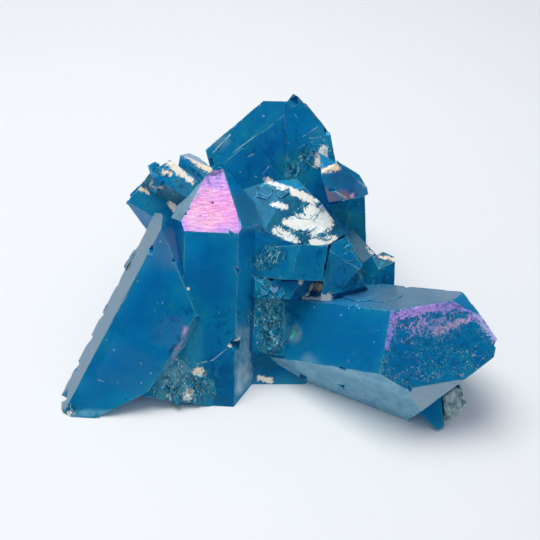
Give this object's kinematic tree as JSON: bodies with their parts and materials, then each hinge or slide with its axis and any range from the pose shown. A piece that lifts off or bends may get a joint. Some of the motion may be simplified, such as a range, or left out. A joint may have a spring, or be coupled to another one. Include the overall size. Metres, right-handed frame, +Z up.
{
  "type": "aqua aura quartz cluster",
  "caption": "Hand-sized cluster of metallic-coated blue quartz points: an upright point, a lying point, a long blade and broken slabs on a flat base.",
  "frame": {"origin": "on the surface the cluster rests on, under the centre of its bounding box", "axes": "+Z up, +X to the right along the lying point's side of the cluster, +Y to the back, away from the long blade and the lying point"},
  "size_m": [0.0868, 0.069, 0.048],
  "materials": {
    "coated_quartz": "clear quartz with a thin metallic coating, deep blue with pink and gold sheen",
    "pale_rock": "rough pale grey-green crust"
  },
  "bodies": {
    "root": {"quartz_cluster": "coated_quartz", "matrix_crust": "pale_rock"}
  },
  "joints": []
}
